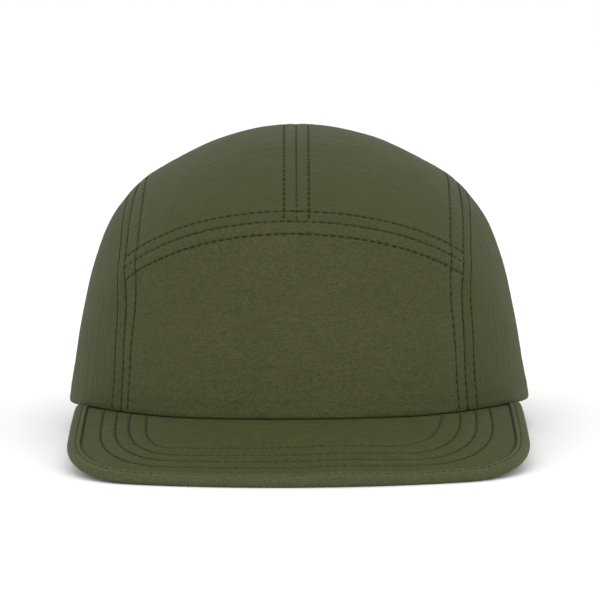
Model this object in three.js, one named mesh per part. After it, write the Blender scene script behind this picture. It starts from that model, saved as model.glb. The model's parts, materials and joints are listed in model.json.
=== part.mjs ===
// A five panel cap of thin nylon cloth, in millimetres. +Z is up and the front faces -Y.
// The crown is worked out round the middle of its rim, and at the end the whole cap is set down
// the way it rests by itself: on the hem at the back and on the front edge of the brim.
// Left and right are the wearer's, so left is +X.
import * as THREE from "three";
import { mergeVertices } from "three/addons/utils/BufferGeometryUtils.js";

const { degToRad, radToDeg, lerp, smoothstep } = THREE.MathUtils;

const clearance = 0.3; // between pieces that are sewn to each other

// The rim is an oval in a plane, measured outside the hem from the middle of the head opening
const rim = { halfWidth: 88.5, frontLength: 97, backLength: 102 };
const crown = { height: 108, wall: 1.5 };

// How full the crown is against a plain dome, by the angle of rise from the rim to the top
const fullness = [
  { riseDeg: 0, front: 1, side: 1, back: 1 },
  { riseDeg: 10, front: 0.994, side: 0.987, back: 1.006 },
  { riseDeg: 20, front: 0.995, side: 0.996, back: 1.02 },
  { riseDeg: 30, front: 1.03, side: 1.023, back: 1.042 },
  { riseDeg: 40, front: 1.062, side: 1.045, back: 1.058 },
  { riseDeg: 50, front: 1.056, side: 1.038, back: 1.06 },
  { riseDeg: 60, front: 1.036, side: 1.019, back: 1.044 },
  { riseDeg: 75, front: 1.011, side: 1.005, back: 1.013 },
  { riseDeg: 90, front: 1, side: 1, back: 1 },
];

// The two long seams: how far out they run, as a share of the half width, by the angle over the
// head, from the front of the rim at 0 to the back of it at 180
const sideSeam = [
  { overDeg: 0, out: 0.722 },
  { overDeg: 20, out: 0.707 },
  { overDeg: 40, out: 0.672 },
  { overDeg: 80, out: 0.655 },
  { overDeg: 130, out: 0.63 },
  { overDeg: 180, out: 0.62 },
];

// The arched seam between the front panel and the top panels, by the same angle over the head
const archSeam = { middleDeg: 37.3, endsDeg: 41.7 };

// The cloth stands up in a ridge along each seam, which fades over its spread to both sides
const archRidge = { rise: 5.2, spread: 18, leftAtEnds: 0.45 };
const sideRidge = { rise: 1.5, spread: 20 };
const ridgeFadeHeight = 35; // the ridges grow from nothing at the rim to full at this height

const backOpening = { halfWidth: 40, height: 44 };
const strap = { width: 20, thickness: 1.2, aboveHem: 2, overlap: 11 };

// The brim, seen from above, has straight sides, round corners and a gently bowed front
const brim = {
  cornersInside: 4.5, // its sides lie this far inside the width of the rim at the corners
  endsInside: 3, // and this far where it runs under the crown
  reach: 149, // from the middle of the head opening to the front edge
  cornerRadius: 30,
  frontRadius: 200,
  core: 2.4,
  fallDeg: 18.7, // slope at the middle
  levelDeg: 62, // the slope is gone this far round from the front
};
const binding = { width: 6, wall: 1, nose: 1.2, shortest: 2.2 };
const brimHalfWidth = rim.halfWidth - brim.cornersInside;
const brimEndHalfWidth = rim.halfWidth - brim.endsInside;
// Towards its ends the brim sinks, so that its binding passes below the hem of the crown
const brimEndDip = { fromDeg: 54, toDeg: 66 }; // round from the front

// How many faces each piece has along its two ways
const faceCounts = {
  frontPanel: { across: 24, up: 14 },
  topPanel: { overOpening: 7, besideOpening: 4, along: 26 },
  sidePanel: { along: 26, up: 12 },
  strap: { along: 20, up: 3 },
  brimHalf: { front: 7, corner: 8, side: 8, out: 6 },
  bindingNose: 6,
};
const mergeDistance = 1e-3; // points of one piece that lie this close are one point

const cloth = {
  crown: { color: 0x4e5033, roughness: 0.8, metalness: 0 },
  top: { color: 0x515539, roughness: 0.78, metalness: 0 },
  brim: { color: 0x4d4e31, roughness: 0.8, metalness: 0 },
  strap: { color: 0x43452c, roughness: 0.85, metalness: 0 },
};

// Reads a column of a table between its rows, on a smooth curve that is level at both ends
function readTable(table, key, at, column) {
  const last = table.length - 1;
  let i = 0;
  while (i < last - 1 && at > table[i + 1][key]) i++;
  const slope = (row) => {
    if (row === 0 || row === last) return 0;
    const before = table[row - 1];
    const after = table[row + 1];
    return (after[column] - before[column]) / (after[key] - before[key]);
  };
  const start = table[i];
  const end = table[i + 1];
  const span = end[key] - start[key];
  const t = THREE.MathUtils.clamp((at - start[key]) / span, 0, 1);
  const bend = t * t * (3 - 2 * t);
  const leave = t * (1 - t) * (1 - t) * span * slope(i);
  const arrive = t * t * (t - 1) * span * slope(i + 1);
  return lerp(start[column], end[column], bend) + leave + arrive;
}

const seamOut = (over) => readTable(sideSeam, "overDeg", over, "out");
const archEndOut = seamOut(archSeam.endsDeg);

function archOver(out) {
  return lerp(archSeam.middleDeg, archSeam.endsDeg, (out / archEndOut) ** 2);
}

// A unit direction from the middle of the rim: out to the left as a share, over the head in degrees
function direction(out, over) {
  const across = Math.sqrt(1 - out * out);
  const angle = degToRad(over);
  return new THREE.Vector3(out, -across * Math.cos(angle), across * Math.sin(angle));
}

function rimDirection(azimuth) {
  return new THREE.Vector3(Math.sin(azimuth), -Math.cos(azimuth), 0);
}

function dome(toward) {
  const level = Math.hypot(toward.x, toward.y);
  const rise = radToDeg(Math.atan2(toward.z, level));
  const sideways = level > 0 ? (toward.x / level) ** 2 : 0;
  const isFront = toward.y < 0;
  const end = readTable(fullness, "riseDeg", rise, isFront ? "front" : "back");
  const full = lerp(end, readTable(fullness, "riseDeg", rise, "side"), sideways);
  const length = isFront ? rim.frontLength : rim.backLength;
  return new THREE.Vector3(
    toward.x * rim.halfWidth,
    toward.y * length,
    toward.z * crown.height,
  ).multiplyScalar(full);
}

function domeNormal(toward) {
  const step = 1e-3;
  const level = Math.hypot(toward.x, toward.y);
  const round =
    level > step
      ? new THREE.Vector3(-toward.y / level, toward.x / level, 0)
      : new THREE.Vector3(1, 0, 0);
  const up = toward.clone().cross(round);
  const here = dome(toward);
  const alongRound = dome(toward.clone().addScaledVector(round, step).normalize()).sub(here);
  const alongUp = dome(toward.clone().addScaledVector(up, step).normalize()).sub(here);
  return alongRound.cross(alongUp).normalize();
}

// How far the cloth stands proud of the dome because of the seams
function seamLift(toward) {
  const out = Math.abs(toward.x);
  const over = radToDeg(Math.atan2(toward.z, -toward.y));
  const seam = seamOut(over);
  const beyond = Math.max(out - seam, 0) * rim.halfWidth;
  const fromArch = degToRad(over - archOver(Math.min(out, seam))) * crown.height;
  const softened = Math.hypot(fromArch, beyond) - beyond;
  const alongArch = lerp(1, archRidge.leftAtEnds, Math.min(out / archEndOut, 1) ** 2);
  const arch =
    archRidge.rise * alongArch * Math.exp(-(softened + beyond) / archRidge.spread);
  const fromSide = Math.abs(out - seam) * rim.halfWidth;
  const side = sideRidge.rise * Math.exp(-fromSide / sideRidge.spread);
  return (arch + side) * smoothstep(toward.z * crown.height, 0, ridgeFadeHeight);
}

// A point of the crown at a depth below its outer face. The hem is cut level with the rim.
function crownPoint(toward, depth) {
  const point = dome(toward).addScaledVector(domeNormal(toward), seamLift(toward) - depth);
  point.z = Math.max(point.z, 0);
  return point;
}

function steps(count) {
  return Array.from({ length: count + 1 }, (_, i) => i / count);
}

// A closed geometry from vertices and faces. Points that coincide become one, empty faces go, and
// the faces are turned to look outwards.
function closed(points, faces) {
  const loose = new THREE.BufferGeometry().setFromPoints(points);
  loose.setIndex(faces.flat());
  const geometry = mergeVertices(loose, mergeDistance);
  const index = geometry.index.array;
  const kept = [];
  for (let i = 0; i < index.length; i += 3) {
    const [a, b, c] = index.slice(i, i + 3);
    if (a !== b && b !== c && c !== a) kept.push([a, b, c]);
  }
  const corner = (i) => new THREE.Vector3().fromBufferAttribute(geometry.attributes.position, i);
  let volume = 0;
  for (const [a, b, c] of kept) volume += corner(a).dot(corner(b).cross(corner(c)));
  if (volume < 0) kept.forEach((face) => face.reverse());
  geometry.setIndex(kept.flat());
  geometry.computeVertexNormals();
  return geometry;
}

// A sheet with two faces. Each face gives a point for a column and a row of shares.
function sheet(columns, rows, topFace, underFace) {
  const points = [];
  for (const face of [topFace, underFace]) {
    for (const row of rows) {
      for (const column of columns) points.push(face(column, row));
    }
  }
  const wide = columns.length;
  const tall = rows.length;
  const at = (side, row, column) => (side * tall + row) * wide + column;
  const faces = [];
  const quad = (a, b, c, d) => faces.push([a, b, c], [a, c, d]);
  for (let row = 0; row < tall - 1; row++) {
    for (let column = 0; column < wide - 1; column++) {
      const [near, far, next, along] = [
        [row, column],
        [row + 1, column],
        [row + 1, column + 1],
        [row, column + 1],
      ];
      quad(at(0, ...near), at(0, ...along), at(0, ...next), at(0, ...far));
      quad(at(1, ...near), at(1, ...far), at(1, ...next), at(1, ...along));
    }
  }
  for (let column = 0; column < wide - 1; column++) {
    for (const [row, a, b] of [[0, column + 1, column], [tall - 1, column, column + 1]]) {
      quad(at(0, row, a), at(0, row, b), at(1, row, b), at(1, row, a));
    }
  }
  for (let row = 0; row < tall - 1; row++) {
    for (const [column, a, b] of [[0, row, row + 1], [wide - 1, row + 1, row]]) {
      quad(at(0, a, column), at(0, b, column), at(1, b, column), at(1, a, column));
    }
  }
  return closed(points, faces);
}

// A panel of the crown from a function that gives its directions
function panel(columns, rows, toward) {
  return sheet(
    columns,
    rows,
    (column, row) => crownPoint(toward(column, row), 0),
    (column, row) => crownPoint(toward(column, row), crown.wall),
  );
}

const halfGap = clearance / 2;
const halfGapOut = halfGap / rim.halfWidth;
const halfGapOver = radToDeg(halfGap / crown.height);
const settlingPasses = 6; // what depends on itself is worked out this many times, and settles

function frontPanel() {
  const toward = (column, row) => {
    let over = 0;
    let out = 0;
    for (let pass = 0; pass < settlingPasses; pass++) {
      out = lerp(-1, 1, column) * (seamOut(over) - halfGapOut);
      over = row * (archOver(out) - halfGapOver);
    }
    return direction(out, over);
  };
  return panel(steps(faceCounts.frontPanel.across), steps(faceCounts.frontPanel.up), toward);
}

// The edge of a top panel at the back: the hem, or the round opening above it
function backEdge(out) {
  const share = Math.min((out * rim.halfWidth) / backOpening.halfWidth, 1);
  const height = (backOpening.height / crown.height) * Math.sqrt(1 - share * share);
  return 180 - radToDeg(Math.asin(height));
}

function topPanel(side) {
  const hemOut = seamOut(180) - halfGapOut;
  const openingShare =
    (backOpening.halfWidth / rim.halfWidth - halfGapOut) / (hemOut - halfGapOut);
  const counts = faceCounts.topPanel;
  const overOpening = steps(counts.overOpening).map(
    (share) => openingShare * Math.sin((share * Math.PI) / 2),
  );
  const besideOpening = steps(counts.besideOpening).map((share) => lerp(openingShare, 1, share));
  const toward = (column, row) => {
    let over = 180;
    let out = 0;
    for (let pass = 0; pass < settlingPasses; pass++) {
      out = lerp(halfGapOut, seamOut(over) - halfGapOut, column);
      over = lerp(archOver(out) + halfGapOver, backEdge(out), row);
    }
    return direction(side * out, over);
  };
  return panel([...overOpening, ...besideOpening.slice(1)], steps(counts.along), toward);
}

function sidePanel(side) {
  const frontEnd = Math.asin(seamOut(0) + halfGapOut);
  const backEnd = Math.PI - Math.asin(seamOut(180) + halfGapOut);
  const toward = (column, row) => {
    const low = rimDirection(lerp(frontEnd, backEnd, column));
    const over = 180 * column;
    const high = direction(seamOut(over) + halfGapOut, over);
    const angle = low.angleTo(high);
    const point = low.clone();
    if (angle > 0) {
      point.multiplyScalar(Math.sin((1 - row) * angle));
      point.addScaledVector(high, Math.sin(row * angle)).normalize();
    }
    point.x *= side;
    return point;
  };
  return panel(steps(faceCounts.sidePanel.along), steps(faceCounts.sidePanel.up), toward);
}

// The strap follows the inside of the crown, low across the opening at the back
function backStrap() {
  const reach = (backOpening.halfWidth + strap.overlap) / rim.halfWidth;
  const face = (depth) => (column, row) => {
    const out = lerp(-reach, reach, column);
    const height = (strap.aboveHem + row * strap.width) / crown.height;
    const over = 180 - radToDeg(Math.asin(height / Math.sqrt(1 - out * out)));
    return crownPoint(direction(out, over), depth);
  };
  const outside = crown.wall + clearance;
  return sheet(
    steps(faceCounts.strap.along),
    steps(faceCounts.strap.up),
    face(outside),
    face(outside + strap.thickness),
  );
}

// How far out a place in the plan lies, against an oval inset from the rim: 1 is on it
function ovalShare(x, y, inset) {
  return Math.hypot(x / (rim.halfWidth - inset), y / (rim.frontLength - inset));
}

// Height of the middle of the brim's thickness over a place in its plan
function brimHeight(x, y) {
  const round = radToDeg(Math.atan2(Math.abs(x), -y));
  const beyondHem = Math.hypot(x, y) * Math.max(1 - 1 / ovalShare(x, y, 0), 0);
  const slope = Math.tan(degToRad(brim.fallDeg)) * Math.max(1 - (round / brim.levelDeg) ** 2, 0);
  const dip = (clearance + binding.wall) * smoothstep(round, brimEndDip.fromDeg, brimEndDip.toDeg);
  return -clearance - brim.core / 2 - dip - slope * beyondHem;
}

function brimPoint(x, y, above) {
  const step = 0.5;
  const here = brimHeight(x, y);
  const normal = new THREE.Vector3(
    here - brimHeight(x + step, y),
    here - brimHeight(x, y + step),
    step,
  ).normalize();
  return new THREE.Vector3(x, y, here).addScaledVector(normal, above);
}

// The outline of the brim from end to end, each place with the way out of the brim there
function brimOutline(endInset) {
  const frontCentre = brim.frontRadius - brim.reach;
  const cornerX = brimHalfWidth - brim.cornerRadius;
  const cornerTurn = Math.asin(cornerX / (brim.frontRadius - brim.cornerRadius));
  const cornerY = frontCentre - (brim.frontRadius - brim.cornerRadius) * Math.cos(cornerTurn);
  const innerSide = (brimEndHalfWidth - endInset) / (rim.halfWidth - crown.wall);
  const endY = -(rim.frontLength - crown.wall) * Math.sqrt(1 - innerSide * innerSide);
  const onArc = (x, y, radius, turn) => ({
    x: x + radius * Math.sin(turn),
    y: y - radius * Math.cos(turn),
    outX: Math.sin(turn),
    outY: -Math.cos(turn),
  });
  const counts = faceCounts.brimHalf;
  const half = [
    ...steps(counts.front).map((share) =>
      onArc(0, frontCentre, brim.frontRadius, share * cornerTurn)),
    ...steps(counts.corner).slice(1).map((share) =>
      onArc(cornerX, cornerY, brim.cornerRadius, lerp(cornerTurn, Math.PI / 2, share))),
    ...steps(counts.side).slice(1).map((share) =>
      ({
        x: lerp(brimHalfWidth, brimEndHalfWidth, share),
        y: lerp(cornerY, endY, share),
        outX: 1,
        outY: 0,
      })),
  ];
  const mirrored = half.slice(1).map((place) => ({ ...place, x: -place.x, outX: -place.outX }));
  return [...mirrored.reverse(), ...half];
}

function brimCore() {
  const inset = binding.wall + clearance;
  const outline = brimOutline(inset);
  const face = (above) => (column, row) => {
    const place = outline[column];
    const x = place.x - inset * place.outX;
    const y = place.y - inset * place.outY;
    const root = 1 / ovalShare(x, y, crown.wall);
    const hem = Math.min(1 / ovalShare(x, y, 0), 1);
    const share = row < 0 ? root : lerp(hem, 1, row);
    return brimPoint(x * share, y * share, above);
  };
  const underCrown = -1;
  return sheet(
    [...outline.keys()],
    [underCrown, ...steps(faceCounts.brimHalf.out)],
    face(brim.core / 2),
    face(-brim.core / 2),
  );
}

function brimBinding() {
  const outline = brimOutline(binding.shortest);
  const slot = brim.core / 2 + clearance;
  const outside = slot + binding.wall;
  const nose = steps(faceCounts.bindingNose).map((share) => {
    const turn = lerp(Math.PI / 2, -Math.PI / 2, share);
    return { inset: binding.nose * (1 - Math.cos(turn)), above: outside * Math.sin(turn) };
  });
  const points = [];
  let section = [];
  for (const place of outline) {
    const crownSide = (rim.halfWidth - crown.wall)
      * Math.sqrt(Math.max(1 - (place.y / (rim.frontLength - crown.wall)) ** 2, 0));
    const room = place.outY === 0 ? Math.abs(place.x) - crownSide : binding.width;
    const width = Math.min(binding.width, room);
    section = [
      { inset: width, above: outside },
      ...nose,
      { inset: width, above: -outside },
      { inset: width, above: -slot },
      { inset: binding.wall, above: -slot },
      { inset: binding.wall, above: slot },
      { inset: width, above: slot },
    ];
    for (const { inset, above } of section) {
      points.push(brimPoint(place.x - inset * place.outX, place.y - inset * place.outY, above));
    }
  }
  const around = section.length;
  const faces = [];
  for (let station = 0; station < outline.length - 1; station++) {
    for (let i = 0; i < around; i++) {
      const a = station * around + i;
      const b = station * around + ((i + 1) % around);
      faces.push([a, b, b + around], [a, b + around, a + around]);
    }
  }
  const flat = section.map(({ inset, above }) => new THREE.Vector2(inset, above));
  const lastStation = (outline.length - 1) * around;
  for (const [a, b, c] of THREE.ShapeUtils.triangulateShape(flat, [])) {
    faces.push([c, b, a], [a + lastStation, b + lastStation, c + lastStation]);
  }
  return closed(points, faces);
}

function piece(name, geometry, look) {
  const mesh = new THREE.Mesh(geometry, new THREE.MeshStandardMaterial(look));
  mesh.name = name;
  return mesh;
}

const cap = new THREE.Group();
cap.add(
  piece("front_panel", frontPanel(), cloth.crown),
  piece("top_panel_left", topPanel(1), cloth.top),
  piece("top_panel_right", topPanel(-1), cloth.top),
  piece("side_panel_left", sidePanel(1), cloth.crown),
  piece("side_panel_right", sidePanel(-1), cloth.crown),
  piece("brim", brimCore(), cloth.brim),
  piece("brim_binding", brimBinding(), cloth.brim),
  piece("back_strap", backStrap(), cloth.strap),
);

// Set down, the cap leans back until the front of the brim and the hem at the back both touch
function cornersOf(mesh) {
  const position = mesh.geometry.attributes.position;
  return Array.from({ length: position.count }, (_, i) =>
    new THREE.Vector3().fromBufferAttribute(position, i));
}

function restLean(corners) {
  let lean = 0;
  for (let pass = 0; pass < settlingPasses; pass++) {
    const height = (corner) => corner.z * Math.cos(lean) - corner.y * Math.sin(lean);
    const lower = (low, corner) => (height(corner) < height(low) ? corner : low);
    const lowest = (list) => list.reduce(lower);
    const front = lowest(corners.filter((corner) => corner.y < 0));
    const back = lowest(corners.filter((corner) => corner.y > 0));
    lean = Math.atan2(back.z - front.z, back.y - front.y);
  }
  return lean;
}

const corners = cap.children.flatMap(cornersOf);
cap.rotation.x = -restLean(corners);
cap.updateMatrixWorld(true);
corners.forEach((corner) => corner.applyMatrix4(cap.matrixWorld));
const box = new THREE.Box3().setFromPoints(corners);
const middle = box.getCenter(new THREE.Vector3());
cap.position.set(-middle.x, -middle.y, -box.min.z);

const part = new THREE.Group();
part.add(cap);

export default part;
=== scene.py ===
import itertools
import json
import math

import bpy
import numpy as np
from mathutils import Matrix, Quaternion, Vector, kdtree


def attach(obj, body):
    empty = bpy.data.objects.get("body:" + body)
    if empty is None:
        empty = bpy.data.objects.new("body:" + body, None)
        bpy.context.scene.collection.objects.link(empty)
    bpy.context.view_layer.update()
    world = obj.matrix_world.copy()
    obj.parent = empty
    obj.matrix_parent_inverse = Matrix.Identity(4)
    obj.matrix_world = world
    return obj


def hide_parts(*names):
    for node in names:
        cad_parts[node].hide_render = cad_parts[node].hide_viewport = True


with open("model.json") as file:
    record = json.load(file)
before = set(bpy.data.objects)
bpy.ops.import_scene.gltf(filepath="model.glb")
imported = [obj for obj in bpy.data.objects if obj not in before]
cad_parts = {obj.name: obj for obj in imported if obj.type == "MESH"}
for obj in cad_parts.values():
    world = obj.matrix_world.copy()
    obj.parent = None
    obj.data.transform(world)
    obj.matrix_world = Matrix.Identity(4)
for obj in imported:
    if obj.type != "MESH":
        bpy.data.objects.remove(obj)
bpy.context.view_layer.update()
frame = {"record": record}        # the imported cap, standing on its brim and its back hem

# Shapes are worked out in millimetres in the cap's own frame: the middle of its rim is the origin,
# +Z is up and the front faces -Y. setDown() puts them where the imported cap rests, in metres.
mount = frame["record"]["mounts"][0]
rimMiddle = np.array(mount["pos_m"]) * 1000
lean = math.atan2(-mount["axis"][1], -mount["axis"][2])

# The crown's driving sizes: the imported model's, but for small moves of its arch and side seams
crown = {
    "halfWidth": 88.5,
    "frontLength": 97.0,
    "backLength": 102.0,
    "height": 108.0,
    "archMiddle": 37.5,      # degrees over the head
    "archEnds": 40.9,
    "archTilt": -0.65,       # added at the wearer's left end and taken off at the other
    "archRise": 5.2,
    "archSpread": 18.0,
    "archLeftAtEnds": 0.45,
    "sideRise": 1.5,
    "sideSpread": 20.0,
    "ridgeFade": 35.0,
    "ridgeRound": 3.0,       # the ridges are rounded this far to both sides
    "asideMiddle": -1.0,     # the panels sit this far to the wearer's right low at the front
    "asideMiddleFade": 0.6,          # by this share less further up
    "asideMiddleUp": (0.3, 0.7),     # share of the height
    "asideSeams": -5.6,      # and more so towards the side seams
    "asideSeamsFade": 1.3,
    "asideSeamsUp": (0.4, 0.85),
    "asideBack": (-0.2, 0.6),        # share of the length from the middle back, where it ends
    "hemRise": 1.7,          # the hem rises at the ends of the brim
    "hemRiseStart": (22, 62),        # degrees round from the front
    "hemRiseEnd": (98, 124),
    "hemRiseReach": 24,      # the cloth moves with it up to this height
    "openingHalfWidth": 40.0,
    "openingHeight": 44.0,
    "wall": 1.5,
}
# Fullness against a plain dome: degrees of rise, front, side, back
fullness = np.array([
    (0, 1, 1, 1),
    (10, 0.994, 0.987, 1.006),
    (20, 0.995, 0.996, 1.02),
    (30, 1.03, 1.023, 1.042),
    (40, 1.062, 1.045, 1.058),
    (50, 1.056, 1.038, 1.06),
    (60, 1.036, 1.019, 1.044),
    (75, 1.011, 1.005, 1.013),
    (90, 1, 1, 1),
])
# The long side seams: degrees over the head, share of the half width
sideSeam = np.array([
    (0, 0.726),
    (20, 0.711),
    (40, 0.669),
    (80, 0.656),
    (130, 0.63),
    (180, 0.62),
])

# How the cloth is sewn
sewing = {
    "rowFromSeam": 4.6,
    "rowStart": 0.6,         # height above the hem
    "rowEndShare": 0.004,    # rows end this share of the half width before a side seam
    "rowEndDegrees": 0.3,    # and this far before the arch
    "wanderAt": 52,          # degrees over the head where rows leave their seam
    "wanderSpread": 22,
    "pitch": 3.0,
    "open": 0.38,            # the stitches stop this short of their needle holes
    "dashStart": -0.2,       # their dark dashes fade in from here to there, past the gap
    "dashFull": 0.15,
    "thread": 0.19,          # radius
    "fineThread": 0.13,
    "seamThread": 0.21,
    "ditchWidth": 0.3,
    "ditchLeast": 0.15,      # share of a seam's depth between its stitches
    "allowance": 6.3,        # the cloth lies double this far from a seam
    "allowanceRise": 0.13,
    "allowanceStart": 0.9,
    "allowanceFade": (-1.2, 1.4),
    "allowanceInside": 0.4,  # the cloth folded open inside
    "allowanceInsideFade": (-0.5, 0.3),
    "grooveDepth": 0.26,
    "grooveWidth": 0.42,
    "holeDepth": 0.12,
    "holeWidth": 0.45,
    "holeLength": 0.5,
    "pucker": 0.16,
    "puckerReach": 6.0,
    "puckerCell": (3.6, 4, 1),
    "puckerSlant": 0.7,
    "puckerSpread": 0.3,
    "seamPucker": 0.8,       # share of the pucker between a seam and its rows
    "seamPuckerAt": 2.4,
    "seamPuckerWidth": 1.8,
    "seamPuckerCell": (4.2, 1, 1),
    "calm": 2.5,             # the crinkle fades out this near a seam
    "shell": 1.1,            # thickness of the panels away from their seams
    "roll": 0.5,             # rounding of a folded edge
    "rollWidth": 0.6,
    "beadRise": 0.22,        # a soft bead along the fold of the hem
    "beadAt": 1.7,
    "beadWidth": 1.4,
    "hemFold": 0.14,         # the turned up cloth of the hem shows this far
    "hemFoldEnd": (7.5, 9.5),
}


def unit(vectors):
    return vectors / np.maximum(np.linalg.norm(vectors, axis=-1, keepdims=True), 1e-12)


def smooth(value, start, end):
    t = np.clip((value - start) / (end - start), 0, 1)
    return t * t * (3 - 2 * t)


def bell(value, width):
    return np.exp(-(value / width) ** 2)


def layFlat(x, y):
    return np.stack([x, y, 0 * x], -1)


def degreesOver(points):
    return np.degrees(np.arctan2(points[..., 2], -points[..., 1]))


def setDown(points):
    x, y, z = np.moveaxis(np.asarray(points, float), -1, 0)
    turned = np.stack([x, y * math.cos(lean) + z * math.sin(lean),
                       z * math.cos(lean) - y * math.sin(lean)], -1)
    return (turned + rimMiddle) / 1000


# Smooth curve through a column of a table, level at both ends
def readTable(table, at, column):
    keys, values = table[:, 0], table[:, column]
    slopes = np.zeros(len(keys))
    slopes[1:-1] = (values[2:] - values[:-2]) / (keys[2:] - keys[:-2])
    at = np.clip(at, keys[0], keys[-1])
    i = np.clip(np.searchsorted(keys, at) - 1, 0, len(keys) - 2)
    span = keys[i + 1] - keys[i]
    t = (at - keys[i]) / span
    bend = t * t * (3 - 2 * t)
    tangents = t * (1 - t) ** 2 * slopes[i] + t * t * (t - 1) * slopes[i + 1]
    return values[i] + (values[i + 1] - values[i]) * bend + span * tangents


def seamOut(over):
    return readTable(sideSeam, over, 1)


archEndOut = float(seamOut(crown["archEnds"]))


def archOver(out):
    share = out / archEndOut
    return (crown["archMiddle"] + (crown["archEnds"] - crown["archMiddle"]) * share ** 2
            + crown["archTilt"] * share)


# Unit directions from the middle of the rim: share out to the wearer's left, degrees over the head
def direction(out, over):
    across = np.sqrt(1 - out * out)
    angle = np.radians(over)
    return np.stack([out + 0 * angle, -across * np.cos(angle), across * np.sin(angle)], -1)


def dome(toward):
    x, y, z = np.moveaxis(toward, -1, 0)
    level = np.hypot(x, y)
    rise = np.degrees(np.arctan2(z, level))
    sideways = (x / np.maximum(level, 1e-9)) ** 2
    end = np.where(y < 0, readTable(fullness, rise, 1), readTable(fullness, rise, 3))
    full = end + (readTable(fullness, rise, 2) - end) * sideways
    length = np.where(y < 0, crown["frontLength"], crown["backLength"])
    scaled = np.stack([x * crown["halfWidth"], y * length, z * crown["height"]], -1)
    return scaled * full[..., None]


def domeNormal(toward):
    step = 1e-3
    x, y, z = np.moveaxis(toward, -1, 0)
    level = np.maximum(np.hypot(x, y), 1e-9)
    around = np.stack([-y / level, x / level, 0 * x], -1)
    up = np.cross(toward, around)
    here = dome(toward)
    alongRound = dome(unit(toward + around * step)) - here
    alongUp = dome(unit(toward + up * step)) - here
    return unit(np.cross(alongRound, alongUp))


# How far the cloth stands proud of the dome because of its seams
def seamLift(toward):
    out = np.abs(toward[..., 0])
    over = degreesOver(toward)
    seam = seamOut(over)
    beyond = np.maximum(out - seam, 0) * crown["halfWidth"]
    fromArch = np.radians(over - archOver(np.clip(toward[..., 0], -seam, seam))) * crown["height"]
    fromArch = np.hypot(fromArch, crown["ridgeRound"]) - crown["ridgeRound"]
    softened = np.hypot(fromArch, beyond) - beyond
    alongArch = 1 + (crown["archLeftAtEnds"] - 1) * np.minimum(out / archEndOut, 1) ** 2
    arch = crown["archRise"] * alongArch * np.exp(-(softened + beyond) / crown["archSpread"])
    fromSide = np.hypot((out - seam) * crown["halfWidth"], crown["ridgeRound"]) - crown["ridgeRound"]
    side = crown["sideRise"] * np.exp(-fromSide / crown["sideSpread"])
    return (arch + side) * smooth(toward[..., 2] * crown["height"], 0, crown["ridgeFade"])


# The panels of this cap are sewn a little to one side at the front
def moveAside(toward, by=1.0):
    x, y, z = np.moveaxis(toward, -1, 0)
    middleLeft = 1 - crown["asideMiddleFade"] * smooth(z, *crown["asideMiddleUp"])
    seamsLeft = 1 - crown["asideSeamsFade"] * smooth(z, *crown["asideSeamsUp"])
    shift = crown["asideMiddle"] * middleLeft + crown["asideSeams"] * x ** 2 * seamsLeft
    shift = shift * (1 - x ** 2) * (1 - smooth(y, *crown["asideBack"]))
    moved = x + shift / crown["halfWidth"] * by
    rest = np.sqrt(np.maximum(1 - moved ** 2, 0) / np.maximum(1 - x ** 2, 1e-9))
    return np.stack([moved, y * rest, z * rest], -1)


# The hem isn't quite flat: it rises at both sides, and the brim with it
def hemRise(x, y):
    around = np.degrees(np.arctan2(np.abs(x), -y))
    risen = crown["hemRise"] * smooth(around, *crown["hemRiseStart"])
    return risen * (1 - smooth(around, *crown["hemRiseEnd"]))


def raiseHem(points):
    x, y, z = np.moveaxis(points, -1, 0)
    return np.stack([x, y, z + hemRise(x, y) * (1 - smooth(z, 0, crown["hemRiseReach"]))], -1)


def crownSurface(toward):
    moved = moveAside(toward)
    normal = domeNormal(moved)
    return dome(moved) + normal * seamLift(toward)[..., None], normal


# The direction whose place on the crown is nearest to a point, found in a few rounds
def onCrown(points):
    length = np.where(points[..., 1] < 0, crown["frontLength"], crown["backLength"])
    sizes = np.stack([0 * length + crown["halfWidth"], length, 0 * length + crown["height"]], -1)
    lifted = 0 * points
    for _ in range(5):
        moved = unit((points - lifted) / sizes)
        toward = moveAside(moved, -1.0)
        lifted = domeNormal(moved) * seamLift(toward)[..., None]
    return toward


# Smooth noise of about -1 to 1, with cells of a size of their own along X, Y and Z
def softNoise(points, cell, seed):
    random = np.random.default_rng(seed)
    size, gain = 512, 1.7
    shuffled = random.permutation(size)
    ways = unit(random.normal(size=(size, 3)))
    place = points / np.array(cell, float)
    corner = np.floor(place).astype(int)
    inside = place - corner
    fade = inside ** 3 * (inside * (inside * 6 - 15) + 10)
    total = np.zeros(points.shape[:-1])
    for step in itertools.product((0, 1), repeat=3):
        at = corner + np.array(step)
        key = shuffled[at[..., 0] % size]
        key = shuffled[(key + at[..., 1]) % size]
        key = shuffled[(key + at[..., 2]) % size]
        share = np.prod(np.where(np.array(step) == 1, fade, 1 - fade), axis=-1)
        total += share * (ways[key] * (inside - np.array(step))).sum(-1)
    return total * gain


def pathLength(points):
    return np.r_[0, np.cumsum(np.linalg.norm(np.diff(points, axis=0), axis=1))]


# Curves on the cloth, with a quick way to find how far a point is from them and how far along
def makeCurve(points, spacing=0.25):
    lengths = pathLength(points)
    at = np.linspace(0, lengths[-1], max(int(lengths[-1] / spacing), 2) + 1)
    even = np.stack([np.interp(at, lengths, points[:, i]) for i in range(3)], -1)
    tree = kdtree.KDTree(len(even))
    for i, point in enumerate(even.tolist()):
        tree.insert(point, i)
    tree.balance()
    return {"points": even, "tangents": unit(np.gradient(even, axis=0)),
            "along": pathLength(even), "tree": tree}


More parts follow.
